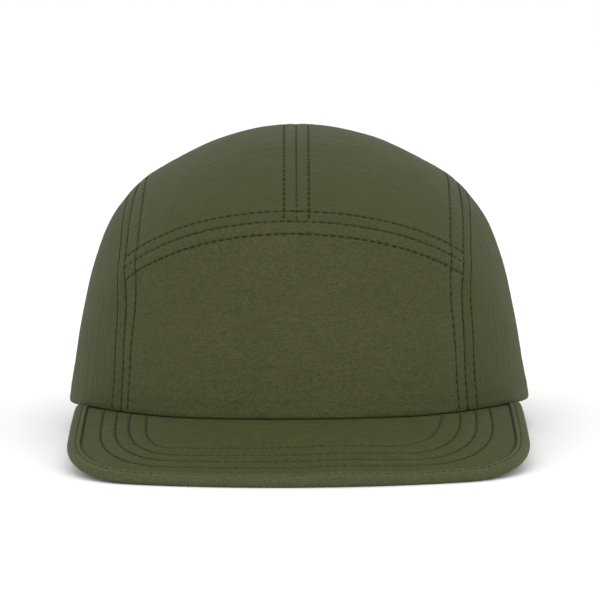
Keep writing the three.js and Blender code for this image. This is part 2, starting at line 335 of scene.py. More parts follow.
def fromCurve(curve, points):
    flat = points.reshape(-1, 3)
    find = curve["tree"].find
    index = np.array([find(point)[1] for point in flat.tolist()])
    offset = flat - curve["points"][index]
    tangent = curve["tangents"][index]
    shift = (offset * tangent).sum(-1)
    past = ((index == 0) & (shift < 0)) | ((index == len(curve["points"]) - 1) & (shift > 0))
    shift = np.where(past, 0, shift)
    away = np.linalg.norm(offset - tangent * shift[:, None], axis=-1)
    along = curve["along"][index] + shift
    return away.reshape(points.shape[:-1]), along.reshape(points.shape[:-1])


# A row of stitches runs beside a seam, on the side that `side` tells, and wanders off by `wander`
# where the crown turns over from front to top
def rowBeside(seam, side, distance, wander):
    points = seam["points"]
    bend = bell(degreesOver(points) - sewing["wanderAt"], sewing["wanderSpread"])
    distance = (distance + wander * bend)[:, None]
    steps = 4
    for _ in range(steps):
        surface, normal = crownSurface(onCrown(points))
        across = unit(np.cross(normal, seam["tangents"])) * side
        points = surface + across * distance / steps
    return crownSurface(onCrown(points))[0]


def crownCurve(out, over):
    return makeCurve(crownSurface(direction(out, over))[0])


def backEdge(out):
    share = np.minimum(np.abs(out) * crown["halfWidth"] / crown["openingHalfWidth"], 1)
    height = crown["openingHeight"] / crown["height"] * np.sqrt(1 - share ** 2)
    return 180 - np.degrees(np.arcsin(height))


def keepWhere(points, test):
    toward = onCrown(points)
    return points[test(toward[..., 0], degreesOver(toward))]


spare = 9 / crown["halfWidth"]       # seams are drawn this much longer, so that rows reach their ends
overHead = np.linspace(0, 180, 900)
acrossArch = np.linspace(-archEndOut, archEndOut, 400)
acrossOpening = np.sin(np.linspace(-math.pi / 2, math.pi / 2, 300))
acrossOpening = acrossOpening * crown["openingHalfWidth"] / crown["halfWidth"]
seams = {
    "left": crownCurve(seamOut(overHead), overHead),
    "right": crownCurve(-seamOut(overHead), overHead),
    "arch": crownCurve(acrossArch, archOver(acrossArch)),
    "centre": crownCurve(np.zeros(500), np.linspace(crown["archMiddle"], float(backEdge(0.0)), 500)),
    "opening": crownCurve(acrossOpening, backEdge(acrossOpening)),
}
longArch = crownCurve(acrossArch * (1 + spare), archOver(acrossArch * (1 + spare)))
longCentre = crownCurve(np.zeros(500), np.linspace(crown["archMiddle"] - 5, float(backEdge(0.0)), 500))


def inFromSeam(out, over):
    return np.abs(out) < seamOut(over) - sewing["rowEndShare"]


def aboveArch(out, over):
    return over > archOver(out) + sewing["rowEndDegrees"]


def makeRow(seam, side, test=None, extra=0.0, wander=0.0):
    points = rowBeside(seam, side, sewing["rowFromSeam"] + extra, wander)
    points = points[points[:, 2] > sewing["rowStart"]]
    return makeCurve(keepWhere(points, test) if test else points)


rows = {
    "leftInner": makeRow(seams["left"], 1, extra=0.4, wander=1.9),
    "leftOuter": makeRow(seams["left"], -1, extra=0.8),
    "rightInner": makeRow(seams["right"], -1, extra=-0.4, wander=2.4),
    "rightOuter": makeRow(seams["right"], 1, extra=0.8),
    "archUpper": makeRow(longArch, 1, inFromSeam),
    "archLower": makeRow(longArch, -1, inFromSeam),
    "centreRight": makeRow(longCentre, 1, aboveArch),
    "centreLeft": makeRow(longCentre, -1, aboveArch),
    "opening": makeRow(seams["opening"], -1),
    "left": seams["left"],
    "right": seams["right"],
    "arch": seams["arch"],
    "centre": seams["centre"],
}
print("seams and rows laid out")

# The panels: how the crinkle of their cloth runs, and the grain of their meshes
panels = {
    "front_panel": {
        "crinkleCell": (7, 7, 2.0),
        "crinkle": 0.085,
        "across": 0.52,
        "up": 0.48,
    },
    "top_panel": {
        "crinkleCell": (14, 2.4, 2.4),
        "crinkle": 0.1,
        "across": 0.68,
        "up": 0.64,
    },
    "side_panel": {
        "crinkleCell": (3.2, 3.2, 13),
        "crinkle": 0.11,
        "across": 0.8,
        "up": 0.88,
    },
}
# Each crinkle has a finer one on it: shares of its cells and of its height
fineCrinkle = {
    "cell": 0.55,
    "share": 0.5,
}
# Steps of a mesh at distances from a seam: small in its ditch and where its stitches lie,
# and the panel's own beyond the last
stepsFrom = [0, 0.8, 1.6, 3.6, 4.1, 5.4, 6.4, 9]
stepSizes = [0.24, 0.3, 0.5, 0.45, 0.3, 0.3, 0.45]


# Steps along a line, fine where a seam or an edge is near
def gradedSteps(length, coarse, fineEnds=True):
    at = np.linspace(0, length, 500)
    spacing = np.full(len(at), coarse)
    if fineEnds:
        for away in (at, length - at):
            spacing = np.minimum(spacing, np.interp(away, stepsFrom, [*stepSizes, coarse]))
    density = 1 / spacing
    return at / length, np.r_[0, np.cumsum((density[1:] + density[:-1]) / 2 * np.diff(at))]


def oddCount(steps):
    return int(math.ceil(steps / 2)) * 2 + 1


# Directions of a panel's grid, row by column
def panelGrid(toward, look, fineEnds=True, columnRow=0.5, columnRange=(0, 1)):
    sample = np.linspace(*columnRange, 400)
    width = pathLength(crownSurface(toward(sample, np.full(len(sample), columnRow)))[0])
    shares, steps = gradedSteps(width[-1], look["across"], fineEnds)
    count = oddCount(steps[-1])
    columns = np.interp(np.linspace(0, steps[-1], count), steps, shares)
    columns = np.interp(columns, width / width[-1], sample)
    rowSample = np.linspace(0, 1, 90)
    lines = crownSurface(toward(columns[:, None], rowSample[None, :]))[0]
    lengths = [pathLength(line) for line in lines]
    longest = max(length[-1] for length in lengths)
    tall = oddCount(gradedSteps(longest, look["up"])[1][-1])
    grid = np.zeros((tall, count))
    for i, length in enumerate(lengths):
        shares, steps = gradedSteps(length[-1], look["up"])
        even = np.interp(np.linspace(0, steps[-1], tall), steps, shares)
        grid[:, i] = np.interp(even, length / length[-1], rowSample)
    return toward(np.broadcast_to(columns, grid.shape), grid)


def frontToward(column, row):
    over = 0 * (column + row)
    for _ in range(6):
        out = (column * 2 - 1) * seamOut(over)
        over = row * archOver(out)
    return direction(out, over)


def topToward(side):
    def toward(column, row):
        over = 180 + 0 * (column + row)
        for _ in range(6):
            out = column * seamOut(over)
            over = archOver(side * out) + (backEdge(out) - archOver(side * out)) * row
        return direction(side * out, over)
    return toward


def sideToward(side):
    frontEnd = math.asin(float(seamOut(0.0)))
    backEnd = math.pi - math.asin(float(seamOut(180.0)))

    def toward(column, row):
        azimuth = frontEnd + (backEnd - frontEnd) * (column + 0 * row)
        low = np.stack([np.sin(azimuth), -np.cos(azimuth), 0 * azimuth], -1)
        over = 180 * (column + 0 * row)
        high = direction(seamOut(over), over)
        angle = np.arccos(np.clip((low * high).sum(-1), -1, 1))[..., None]
        weight = (row + 0 * column)[..., None]
        point = unit(low * np.sin((1 - weight) * angle) + high * np.sin(weight * angle))
        return point * np.array([side, 1, 1])
    return toward


# Soft folds of the whole crown, the same on both sides of a seam: rise, cells and seed
folds = [
    (0.32, (34, 34, 46), 11),
    (0.16, (15, 15, 26), 12),
]
foldsFrom = 16       # in full from this height


def broadFolds(points):
    total = sum(rise * softNoise(points, cell, seed) for rise, cell, seed in folds)
    return total * smooth(points[..., 2], 0, foldsFrom)


# Looks of a row of stitches: how dark its painted shade is, how much of each step lies open, how dark
# the painted shade between the stitches stays, how wide it is, and how deep a seam is
seamLooks = {
    "left": {"dark": 1.0, "gap": 0.6, "faint": 0.06, "width": 0.42, "depth": 0.36},
    "right": {"dark": 1.0, "gap": 0.6, "faint": 0.06, "width": 0.42, "depth": 0.36},
    "arch": {"dark": 0.75, "gap": 0.75, "faint": 0.06, "width": 0.42, "depth": 0.28},
    "centre": {"dark": 0.7, "gap": 0.95, "faint": 0.06, "width": 0.42, "depth": 0.24},
}
rowLook = {"dark": 0.95, "gap": 0.52, "faint": 0.12, "width": 0.36}
brimRowLook = {"dark": 0.95, "gap": 0.74, "faint": 0.12, "width": 0.45}


# Distance along a row to the nearest needle hole
def fromHole(along):
    return np.abs((along / sewing["pitch"] + 0.5) % 1 - 0.5) * sewing["pitch"]


# Where a row's stitches lie, between their holes
def dashes(along, look):
    return smooth(fromHole(along), look["gap"] + sewing["dashStart"], look["gap"] + sewing["dashFull"])


# Painted shade of a row of stitches: dark dashes along their groove, on a faint line
def rowPaintedShade(away, along, look):
    line = look["faint"] + (1 - look["faint"]) * dashes(along, look)
    return look["dark"] * line * bell(away, look["width"])


def needleHoles(away, along):
    return bell(away, sewing["holeWidth"]) * bell(fromHole(along), sewing["holeLength"])


def nearEdge(away):
    return np.clip(1 - away / sewing["rollWidth"], 0, 1)


def rolledEdge(away):
    return sewing["roll"] * (1 - np.sqrt(1 - nearEdge(away) ** 2))


# How far the outer face stands off the smooth crown, and its painted shade in seam ditches,
# stitch grooves and needle holes
def crownRelief(points, seamNames, rowNames, look, holes=True):
    ditch, raised, grooves, puckers, shade = np.zeros((5, *points.shape[:-1]))
    calm = np.ones(points.shape[:-1])
    for name in seamNames:
        away, along = fromCurve(seams[name], points)
        if name == "opening":
            ditch -= rolledEdge(away)
        else:
            own = seamLooks[name]
            sunk = sewing["ditchLeast"] + (1 - sewing["ditchLeast"]) * dashes(along, own)
            ditch -= own["depth"] * np.exp(-away / sewing["ditchWidth"]) * sunk
            shade = np.maximum(shade, rowPaintedShade(away, along, own))
        double = smooth(away, 0, sewing["allowanceStart"])
        double = double * (1 - smooth(away - sewing["allowance"], *sewing["allowanceFade"]))
        raised = np.maximum(raised, sewing["allowanceRise"] * double)
        wave = softNoise(layFlat(along, 0 * along), sewing["seamPuckerCell"], seed=len(name))
        between = bell(away - sewing["seamPuckerAt"], sewing["seamPuckerWidth"]) * sewing["seamPucker"]
        puckers += sewing["pucker"] * wave * between
        calm = np.minimum(calm, 1 - np.exp(-away / sewing["calm"]))
    for name in rowNames:
        away, along = fromCurve(rows[name], points)
        grooves = np.minimum(grooves, -sewing["grooveDepth"] * bell(away, sewing["grooveWidth"]))
        if holes:
            deepest = sewing["grooveDepth"] + sewing["holeDepth"]
            grooves = np.minimum(grooves, -deepest * needleHoles(away, along))
            shade = np.maximum(shade, rowPaintedShade(away, along, rowLook))
        place = layFlat(along + away * sewing["puckerSlant"], away * sewing["puckerSpread"])
        wave = softNoise(place, sewing["puckerCell"], seed=len(name) + 5)
        puckers += sewing["pucker"] * wave * np.exp(-away / sewing["puckerReach"])
    fineCell = tuple(size * fineCrinkle["cell"] for size in look["crinkleCell"])
    crinkle = look["crinkle"] * softNoise(points, look["crinkleCell"], seed=21)
    crinkle += look["crinkle"] * fineCrinkle["share"] * softNoise(points, fineCell, seed=22)
    z = points[..., 2]
    hem = sewing["beadRise"] * bell(z - sewing["beadAt"], sewing["beadWidth"])
    hem += sewing["hemFold"] * (1 - smooth(z, *sewing["hemFoldEnd"]))
    hem -= rolledEdge(z)
    relief = ditch + raised + grooves + (puckers + crinkle) * calm + hem + broadFolds(points)
    return relief, shade


# Depth of the inner face: the allowances lie folded open there
def innerDepth(points, seamNames):
    depth = np.full(points.shape[:-1], sewing["shell"])
    for name in seamNames:
        away, _ = fromCurve(seams[name], points)
        folded = 1 - smooth(away - sewing["allowance"], *sewing["allowanceInsideFade"])
        depth += sewing["allowanceInside"] * folded
        if name == "opening":
            depth -= sewing["roll"] * nearEdge(away)
    return np.minimum(depth, crown["wall"]) - sewing["roll"] * nearEdge(points[..., 2])


# A mesh of a fine outer grid and an inner one with half as many steps, joined round their edges
def shellMesh(name, outer, inner, shade):
    tall, wide = outer.shape[:2]
    innerTall, innerWide = inner.shape[:2]
    points = np.concatenate([outer.reshape(-1, 3), inner.reshape(-1, 3)])
    base = tall * wide

    def at(row, column):
        return row * wide + column

    def under(row, column):
        return base + row * innerWide + column

    def grid(index, high, across, flip):
        row, column = np.meshgrid(np.arange(high - 1), np.arange(across - 1), indexing="ij")
        quad = [index(row, column), index(row, column + 1),
                index(row + 1, column + 1), index(row + 1, column)]
        quads = np.stack([part.ravel() for part in quad], -1)
        return (quads[:, ::-1] if flip else quads).tolist()

    faces = grid(at, tall, wide, False) + grid(under, innerTall, innerWide, True)
    for j in range(innerWide - 1):
        faces.append([at(0, 2 * j + 2), at(0, 2 * j + 1), at(0, 2 * j), under(0, j), under(0, j + 1)])
        last, lastIn = tall - 1, innerTall - 1
        faces.append([at(last, 2 * j), at(last, 2 * j + 1), at(last, 2 * j + 2),
                      under(lastIn, j + 1), under(lastIn, j)])
    for j in range(innerTall - 1):
        faces.append([at(2 * j, 0), at(2 * j + 1, 0), at(2 * j + 2, 0), under(j + 1, 0), under(j, 0)])
        last, lastIn = wide - 1, innerWide - 1
        faces.append([at(2 * j + 2, last), at(2 * j + 1, last), at(2 * j, last),
                      under(j, lastIn), under(j + 1, lastIn)])
    shades = np.r_[shade.ravel(), np.zeros(inner[..., 0].size)]
    return meshObject(name, points, faces, shades)


# Faces of a closed tube with a cap at each end: stations along it, corners round it
def tubeFaces(stations, around):
    faces = []
    for i in range(stations - 1):
        for j in range(around):
            a, b = i * around + j, i * around + (j + 1) % around
            faces.append([a, a + around, b + around, b])
    last = (stations - 1) * around
    faces.append(list(range(around)))
    faces.append(list(range(last, last + around))[::-1])
    return faces


built = {}               # every piece, by its name
lowest = 2e-5            # metres above the floor, so that nothing pokes through it


def meshObject(name, points, faces, shades=None):
    placed = setDown(points)
    placed[:, 2] = np.maximum(placed[:, 2], lowest)
    mesh = bpy.data.meshes.new(name)
    mesh.from_pydata(placed.tolist(), [], faces)
    # painted shade: how far stitch grooves, needle holes, seam ditches and threads are darkened
    attribute = mesh.attributes.new("paintedStitchShade", "FLOAT", "POINT")
    attribute.data.foreach_set("value", np.zeros(len(points)) if shades is None else shades)
    mesh.polygons.foreach_set("use_smooth", np.ones(len(mesh.polygons), bool))
    mesh.calc_loop_triangles()
    triangles = np.zeros(len(mesh.loop_triangles) * 3, int)
    mesh.loop_triangles.foreach_get("vertices", triangles)
    a, b, c = np.moveaxis(placed[triangles.reshape(-1, 3)], 1, 0)
    if (a * np.cross(b, c)).sum() < 0:       # all faces point outwards
        mesh.flip_normals()
    mesh.update()
    made = bpy.data.objects.new(name, mesh)
    bpy.context.scene.collection.objects.link(made)
    built[name] = made
    return made


def buildPanel(name, node, toward, kind, seamNames, rowNames, **gridWords):
    look = panels[kind]
    grid = panelGrid(toward, look, **gridWords)
    surface, normal = crownSurface(grid)
    relief, shade = crownRelief(surface, seamNames, rowNames, look)
    outer = surface + normal * relief[..., None]
    outer[..., 2] = np.maximum(outer[..., 2], 0)
    halfGrid = surface[::2, ::2]
    depth = innerDepth(halfGrid, seamNames)
    inner = halfGrid - normal[::2, ::2] * depth[..., None]
    inner[..., 2] = np.maximum(inner[..., 2], 0)
    made = shellMesh(name, raiseHem(outer), raiseHem(inner), shade)
    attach(made, "root")
    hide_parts(node)
    print(name, "built,", len(made.data.polygons), "faces")


buildPanel("front_panel_cloth", "front_panel", frontToward, "front_panel",
           ["left", "right", "arch"], ["leftInner", "rightInner", "archLower"])
for side, word, centreRow in ((1, "left", "centreLeft"), (-1, "right", "centreRight")):
    buildPanel(f"top_panel_{word}_cloth", f"top_panel_{word}", topToward(side), "top_panel",
               [word, "centre", "arch", "opening"],
               [f"{word}Inner", centreRow, "archUpper", "opening"])
    buildPanel(f"side_panel_{word}_cloth", f"side_panel_{word}", sideToward(side), "side_panel",
               [word], [f"{word}Outer"],
               fineEnds=False, columnRow=1.0, columnRange=(0.006, 0.994))


# The brim, seen from above: straight sides, round corners and a gently bowed front
brim = {
    "halfWidth": crown["halfWidth"] - 4.5,
    "wider": 0.6,            # at the wearer's right
    "reach": 149.0,
    "cornerWidth": 38.0,
    "cornerLength": 44.0,
    "cornerPower": 2.35,     # 2 is an ellipse, more is squarer
    "frontRadius": 200.0,
    "core": 2.4,
    "fall": math.radians(18.7),
    "level": 62.0,           # degrees round from the front where it stops falling
    "endDip": -0.3,
    "endDipFrom": (54, 66),
    "clearance": 0.3,
    "thinner": 0.85,         # the board is this much thinner on top away from the crown
    "deeper": 0.5,           # and this much deeper below
    "thinFrom": 20.0,        # both in full this far beyond the hem
    "lip": 0.85,             # the binding stands this far off the cloth
    "hump": 0.8,             # a low wave in the cloth at the wearer's left
    "humpAt": 16.0,
    "humpWidth": 13.0,
    "edgeInset": 1.3,
    "spacing": 0.78,         # mesh steps round the edge
    "endTrim": 1.0,
    "stepsOut": 124,         # and from the crown to the edge
}
# Its rows of stitches: insets and the sizes of their corners, from the edge inwards
brimRowPlaces = {
    "front": (11.5, 17.0, 22.7, 29.2),
    "left": (13.0, 18.7, 24.6, 31.5),
    "right": (11.2, 16.5, 21.5, 27.9),
    "leftCorners": (38.0, 32.0, 28.0, 27.0),
    "leftLengths": (54.0, 52.0, 50.0, 46.0),
    "rightCorners": (36.0, 33.0, 26.0, 15.0),
    "rightLengths": (46.0, 44.0, 40.0, 28.0),
    "power": 2.5,
    "endInset": 3,           # they run this far under the crown
}
# Its cloth, sewn down in channels
brimCover = {
    "rise": 0.2,
    "shownFrom": 4,          # in full this far beyond the hem
    "rowDepth": 0.3,
    "rowWidth": 0.5,
    "rowDip": 0.16,          # a wider dip round each row
    "rowDipReach": 1.5,
    "holeDepth": 0.12,
    "pucker": 0.22,
    "puckerCell": (4.4, 4, 1),
    "puckerSpread": 0.3,
    "puckerReach": 3.0,
    "ditchInside": 0.1,      # the ditch beside the binding
    "ditchDepth": 0.35,
    "ditchWidth": 0.9,
    # painted shadow in that ditch, where the binding's raised fold shades the cloth
    "ditchPaintedShade": 0.9,
    "ditchPaintedShadeWidth": 0.5,
    "crinkle": 0.05,
    "crinkleCell": (10, 4, 1),
    "fold": 0.08,
    "foldCell": (22, 16, 1),
    "crease": 0.07,          # short slanting creases near the corners
    "creaseCell": (2.4, 15, 1),
    "creaseFrom": (52, 68),
}
bindingSize = {
    "width": 5.0,
    "wall": 1.0,
    "layer": 0.8,            # thickness of its cloth on both faces
    "nose": 1.2,             # depth of its round front
    "noseSteps": 15,
    # from its inner edge outwards: share of the width, millimetres above the face
    "ridge": [(0.99, -0.8), (0.985, -0.42), (0.94, -0.1), (0.88, 0.06), (0.8, 0.04), (0.74, -0.06),
              (0.69, -0.2), (0.65, -0.28), (0.61, -0.2), (0.56, -0.06), (0.5, 0.02), (0.41, 0.03),
              (0.31, 0)],
    "rowShare": 0.65,        # place of its stitches across its width
    "rowSunk": 0.3,          # they lie this far below its face
    "rowSpacing": 0.5,
    "shortest": 2.2,
    "taper": 16.0,           # it grows thin this far from its ends
    "endShare": 0.3,         # down to this share of its rise
    "below": 0.05,           # it stands this much less off the lower face
    "uneven": 0.1,
    "unevenCell": (9, 1, 1),
    "faceInset": 3,          # where the board's faces are measured
    "spacing": 0.7,
}


def ovalShare(x, y, inset):
    return np.hypot(x / (crown["halfWidth"] - inset), y / (crown["frontLength"] - inset))


def beyondHem(x, y):
    return np.hypot(x, y) * np.maximum(1 - 1 / np.maximum(ovalShare(x, y, 0), 1e-6), 0)


def brimHeight(x, y):
    around = np.degrees(np.arctan2(np.abs(x), -y))
    slope = math.tan(brim["fall"]) * np.maximum(1 - (around / brim["level"]) ** 2, 0)
    dip = brim["endDip"] * smooth(around, *brim["endDipFrom"])
    return hemRise(x, y) - brim["clearance"] - brim["core"] / 2 - dip - slope * beyondHem(x, y)


def brimSurface(x, y):
    step = 0.5
    here = brimHeight(x, y)
    slopes = [here - brimHeight(x + step, y), here - brimHeight(x, y + step), 0 * here + step]
    return np.stack([x, y, here], -1), unit(np.stack(slopes, -1))


# Half of a line round the brim, with the way out at each place
def brimHalf(inset, sideInset, cornerWidth, cornerLength, power, endInset):
    centreY = brim["frontRadius"] - brim["reach"]
    radius = brim["frontRadius"] - inset
    sideX = brim["halfWidth"] - sideInset
    cornerX = sideX - cornerWidth
    bend, steep = 2 / power, 2 - 2 / power
    start = 0.3              # a first guess, mended round by round
    for _ in range(40):      # where the front passes into the corner
        turn = math.asin((cornerX + cornerWidth * math.sin(start) ** bend) / radius)
        start = math.atan((cornerWidth / cornerLength * math.tan(turn)) ** (1 / steep))
    cornerY = centreY - radius * math.cos(turn) + cornerLength * math.cos(start) ** bend
    inner = (brim["halfWidth"] - endInset) / (crown["halfWidth"] - crown["wall"])
    endY = -(crown["frontLength"] - crown["wall"]) * math.sqrt(1 - inner ** 2)
    front = np.linspace(0, turn, 200)
    corner = start + (math.pi / 2 - start) * smooth(np.linspace(0, 1, 260), 0, 1)[1:]
    side = np.linspace(0, 1, 120)[1:]
    cosine = np.maximum(np.cos(corner), 1e-9)
    x = np.r_[radius * np.sin(front), cornerX + cornerWidth * np.sin(corner) ** bend,
              sideX + 0 * side]
    y = np.r_[centreY - radius * np.cos(front), cornerY - cornerLength * cosine ** bend,
              cornerY + (endY - cornerY) * side]
    slope = cornerLength / cornerWidth * (np.sin(corner) / cosine) ** steep
    outX = np.r_[np.sin(front), slope / np.hypot(slope, 1), 1 + 0 * side]
    outY = np.r_[-np.cos(front), -1 / np.hypot(slope, 1), 0 * side]
    return np.stack([x, y, outX, outY], -1)


def joinHalves(left, right):
    return np.concatenate([right[1:][::-1] * np.array([-1, 1, -1, 1]), left])


def brimLine(inset, endInset):
    corner = (brim["cornerWidth"] - inset, brim["cornerLength"] - inset, brim["cornerPower"])
    return joinHalves(brimHalf(inset, inset, *corner, endInset),
                      brimHalf(inset, inset - brim["wider"], *corner, endInset))


def evenLine(line, spacing, trim=0.0):
    lengths = pathLength(line[:, :2])
    count = oddCount((lengths[-1] - 2 * trim) / spacing)
    at = np.linspace(trim, lengths[-1] - trim, count)
    return np.stack([np.interp(at, lengths, line[:, i]) for i in range(line.shape[1])], -1)


def flatCurve(line):
    return makeCurve(layFlat(line[:, 0], line[:, 1]))


brimRowCurves = []
for i, front in enumerate(brimRowPlaces["front"]):
    halves = [brimHalf(front, brimRowPlaces[side][i], brimRowPlaces[side + "Corners"][i],
                       brimRowPlaces[side + "Lengths"][i], brimRowPlaces["power"], brim["edgeInset"])
              for side in ("left", "right")]
    line = joinHalves(*halves)
    outside = ovalShare(line[:, 0], line[:, 1], brimRowPlaces["endInset"]) > 1
    brimRowCurves.append(flatCurve(line[outside]))
brimEdge = flatCurve(brimLine(0, 0))


# Heights of the two faces of the board over its middle
def boardFaces(x, y):
    away = smooth(beyondHem(x, y), 0, brim["thinFrom"])
    hump = brim["hump"] * bell(x - brim["humpAt"], brim["humpWidth"]) * away
    return (brim["core"] / 2 - brim["thinner"] * away + hump,
            -brim["core"] / 2 - brim["deeper"] * away)


# How far the cloth on the brim stands off its board, and the painted shade of its stitch grooves,
# its needle holes and the ditch beside the binding
def brimRelief(x, y, holes=True):
    plan = layFlat(x, y)
    relief = 0 * x + brimCover["rise"]
    shade = 0 * x
    for i, curve in enumerate(brimRowCurves):
        away, along = fromCurve(curve, plan)
        groove = brimCover["rowDepth"] * bell(away, brimCover["rowWidth"])
        dip = brimCover["rowDip"] * np.exp(-away / brimCover["rowDipReach"])
        relief = np.minimum(relief, brimCover["rise"] - groove - dip)
        place = layFlat(along, away * brimCover["puckerSpread"])
        wave = softNoise(place, brimCover["puckerCell"], seed=40 + i)
        relief = relief + brimCover["pucker"] * wave * np.exp(-away / brimCover["puckerReach"])
        if holes:
            relief = relief - brimCover["holeDepth"] * needleHoles(away, along)
            shade = np.maximum(shade, rowPaintedShade(away, along, brimRowLook))
    fromEdge, _ = fromCurve(brimEdge, plan)
    ditch = fromEdge - bindingSize["width"] + brimCover["ditchInside"]
    relief = relief - brimCover["ditchDepth"] * bell(ditch, brimCover["ditchWidth"])
    shade = np.maximum(shade, brimCover["ditchPaintedShade"] * bell(ditch, brimCover["ditchPaintedShadeWidth"]))
    crinkle = brimCover["crinkle"] * softNoise(plan, brimCover["crinkleCell"], seed=31)
    crinkle += brimCover["fold"] * softNoise(plan, brimCover["foldCell"], seed=32)
    slanting = np.stack([np.abs(x) + y, np.abs(x) - y, 0 * x + np.sign(x)], -1)
    creases = softNoise(slanting, brimCover["creaseCell"], seed=33)
    crinkle += brimCover["crease"] * creases * smooth(np.abs(x), *brimCover["creaseFrom"])
    shown = smooth(beyondHem(x, y), 0, brimCover["shownFrom"])
    return (relief + crinkle) * shown, shade * shown


def buildBrim():
    line = evenLine(brimLine(brim["edgeInset"], brim["edgeInset"]), brim["spacing"], brim["endTrim"])
    edgeX, edgeY = line[:, 0], line[:, 1]
    root = 1 / ovalShare(edgeX, edgeY, crown["wall"])
    share = root[None, :] + (1 - root[None, :]) * np.linspace(0, 1, brim["stepsOut"] + 1)[:, None]
    x, y = edgeX * share, edgeY * share
    surface, normal = brimSurface(x, y)
    relief, shade = brimRelief(x, y)
    top, bottom = boardFaces(x, y)
    outer = surface + normal * (top + relief)[..., None]
    under = surface[::2, ::2] + normal[::2, ::2] * (bottom - relief)[::2, ::2][..., None]
    made = shellMesh("brim_cloth", outer, under, shade)
    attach(made, "root")
    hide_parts("brim")
    print("brim built,", len(made.data.polygons), "faces")


buildBrim()


# The binding's section: a ridge over its folded edge, a groove for the stitches and a round nose
def bindingSection(width, top, bottom):
    upper = [(share * width, top + above) for share, above in bindingSize["ridge"]]
    turn = np.linspace(math.pi / 2, -math.pi / 2, bindingSize["noseSteps"])
    middle, half = (top + bottom) / 2, (top - bottom) / 2
    nose = [(bindingSize["nose"] * (1 - math.cos(t)), middle + half * math.sin(t)) for t in turn]
    lower = [(share * width, bottom - above) for share, above in reversed(bindingSize["ridge"])]
    wall, layer = bindingSize["wall"], bindingSize["layer"]
    return np.array(upper + nose + lower + [(wall, bottom + layer), (wall, top - layer)])


def buildBinding():
    line = evenLine(brimLine(0, bindingSize["shortest"]), bindingSize["spacing"])
    oval = np.sqrt(np.maximum(1 - (line[:, 1] / (crown["frontLength"] - crown["wall"])) ** 2, 0))
    crownSide = (crown["halfWidth"] - crown["wall"]) * oval
    straight = np.abs(line[:, 2]) > 0.9999     # the way out is sideways
    room = np.where(straight, np.abs(line[:, 0]) - crownSide, bindingSize["width"])
    width = np.clip(np.minimum(bindingSize["width"], room), bindingSize["shortest"], None)
    along = pathLength(line[:, :2])
    fromEnd = np.minimum(along, along[-1] - along)
    whole = smooth(fromEnd, 0, bindingSize["taper"])
    kept = bindingSize["endShare"] + (1 - bindingSize["endShare"]) * whole
    wave = softNoise(layFlat(along, 0 * along), bindingSize["unevenCell"], seed=51)
    inside = line[:, :2] - bindingSize["faceInset"] * line[:, 2:]
    top, bottom = boardFaces(inside[:, 0], inside[:, 1])
    top = top + brim["lip"] * kept + bindingSize["uneven"] * wave
    bottom = bottom * kept - (brim["lip"] - bindingSize["below"]) * whole
    points = []
    for (x, y, outX, outY), *sizes in zip(line, width, top, bottom):
        inset, above = bindingSection(*sizes).T
        surface, normal = brimSurface(x - inset * outX, y - inset * outY)
        points.append(surface + normal * above[:, None])
    points = np.array(points)
    made = meshObject("brim_binding_cloth", points.reshape(-1, 3), tubeFaces(*points.shape[:2]))
    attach(made, "root")
    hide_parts("brim_binding")
    print("binding built,", len(made.data.polygons), "faces")


buildBinding()

# The brim's cloth is turned up inside the crown, where it is sewn in
turnUp = {
    "depth": 1.7,
    "thickness": 0.7,
    "low": -2.6,
    "high": 9.0,
    "endDegrees": 72.0,
    "fadeDegrees": 8,        # it grows low this far from its ends
    "endShare": 0.15,
    "stations": 261,
    "steps": 13,
}


def buildTurnUp():
    azimuth = np.radians(np.linspace(-turnUp["endDegrees"], turnUp["endDegrees"], turnUp["stations"]))
    rim = dome(np.stack([np.sin(azimuth), -np.cos(azimuth), 0 * azimuth], -1))
    outward = unit(rim / np.array([crown["halfWidth"] ** 2, crown["frontLength"] ** 2, 1]))
    heights = np.linspace(turnUp["low"], turnUp["high"], turnUp["steps"])
    fromEnd = turnUp["endDegrees"] - np.abs(np.degrees(azimuth))
    fade = np.clip(fromEnd / turnUp["fadeDegrees"], turnUp["endShare"], 1)
    section = [(turnUp["depth"], z) for z in heights]
    section += [(turnUp["depth"] + turnUp["thickness"], z) for z in heights[::-1]]
    points = np.zeros((len(azimuth), len(section), 3))
    for j, (depth, z) in enumerate(section):
        points[:, j] = rim - outward * depth
        points[:, j, 2] = np.where(z > 0, z * fade, z)
    faces = tubeFaces(*points.shape[:2])
    made = meshObject("brim_cloth_turned_up", raiseHem(points).reshape(-1, 3), faces)
    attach(made, "root")
    print("turned up cloth built,", len(faces), "faces")


buildTurnUp()

# The strap of webbing inside the crown, low across the opening at the back
strap = {
    "width": 20.0,
    "thickness": 1.2,
    "aboveHem": 2.0,
    "overlap": 11.0,
    "clearance": 0.3,
    "ribPitch": 1.5,
    "ribRise": 0.09,
    "squareUp": 0.35,        # 1 is an ellipse, less is squarer
    "squareOff": 0.9,
    "stations": 263,
    "around": 36,
}


# A wave between -1 and 1 with a squarer crest
def squareWave(wave, power):
    return np.sign(wave) * np.abs(wave) ** power


